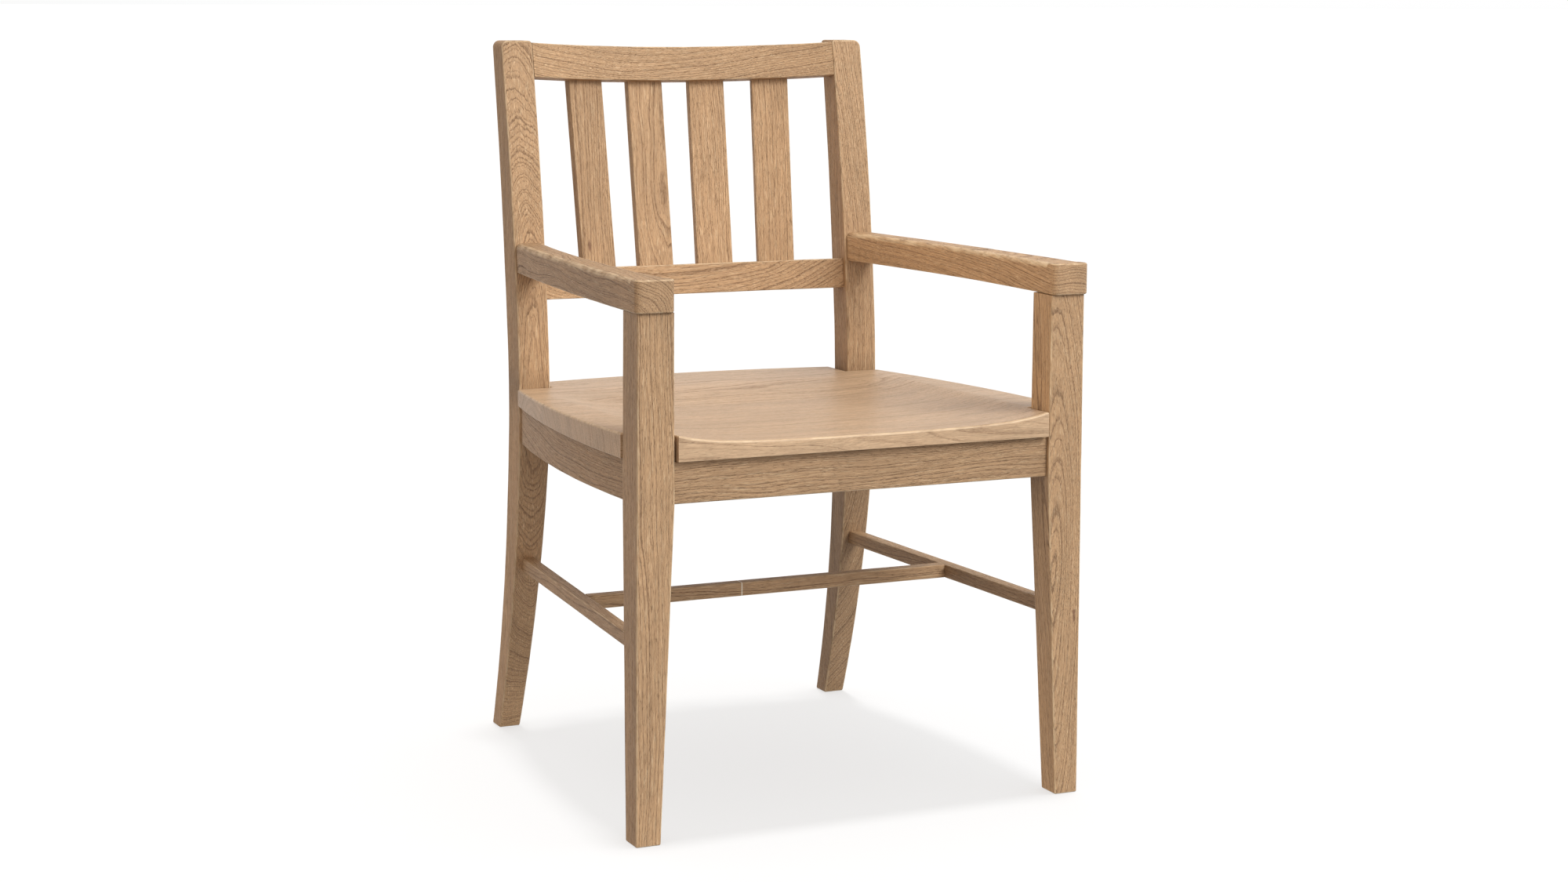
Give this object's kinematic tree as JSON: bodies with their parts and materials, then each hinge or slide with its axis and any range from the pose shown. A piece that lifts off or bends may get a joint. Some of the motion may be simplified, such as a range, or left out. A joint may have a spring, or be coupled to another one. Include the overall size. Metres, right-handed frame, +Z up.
{
  "type": "armchair",
  "caption": "Oak armchair with tapered posts, curved back legs, a bowed slatted back, a saddled solid seat, curved side aprons and an H stretcher.",
  "frame": {"origin": "centre of the bounding box's footprint, on the floor", "axes": "+Z up, the sitter faces -Y, +X to the sitter's left, which is the right side of the chair seen from the front"},
  "size_m": [0.572, 0.6013, 0.89],
  "materials": {
    "oak_frame": "brushed, satin oil",
    "oak_seat": "sanded, satin oil",
    "beech": "unfinished",
    "steel": "zinc plated"
  },
  "bodies": {
    "root": {"left_back_leg": "oak_frame", "left_front_leg": "oak_frame", "left_arm": "oak_frame", "left_side_apron": "oak_frame", "left_side_stretcher": "oak_frame", "right_back_leg": "oak_frame", "right_front_leg": "oak_frame", "right_arm": "oak_frame", "right_side_apron": "oak_frame", "right_side_stretcher": "oak_frame", "crest_rail": "oak_frame", "lower_back_rail": "oak_frame", "back_slat_1": "oak_frame", "back_slat_2": "oak_frame", "back_slat_3": "oak_frame", "back_slat_4": "oak_frame", "front_apron": "oak_frame", "back_apron": "oak_frame", "cross_stretcher": "oak_frame", "seat": "oak_seat", "left_front_corner_block": "beech", "left_back_corner_block": "beech", "right_front_corner_block": "beech", "right_back_corner_block": "beech", "left_arm_dowel_1": "beech", "left_arm_dowel_2": "beech", "right_arm_dowel_1": "beech", "right_arm_dowel_2": "beech", "left_front_corner_block_screw_1": "steel", "left_front_corner_block_screw_2": "steel", "left_front_corner_block_seat_screw": "steel", "left_back_corner_block_screw_1": "steel", "left_back_corner_block_screw_2": "steel", "left_back_corner_block_seat_screw": "steel", "right_front_corner_block_screw_1": "steel", "right_front_corner_block_screw_2": "steel", "right_front_corner_block_seat_screw": "steel", "right_back_corner_block_screw_1": "steel", "right_back_corner_block_screw_2": "steel", "right_back_corner_block_seat_screw": "steel"}
  },
  "joints": []
}
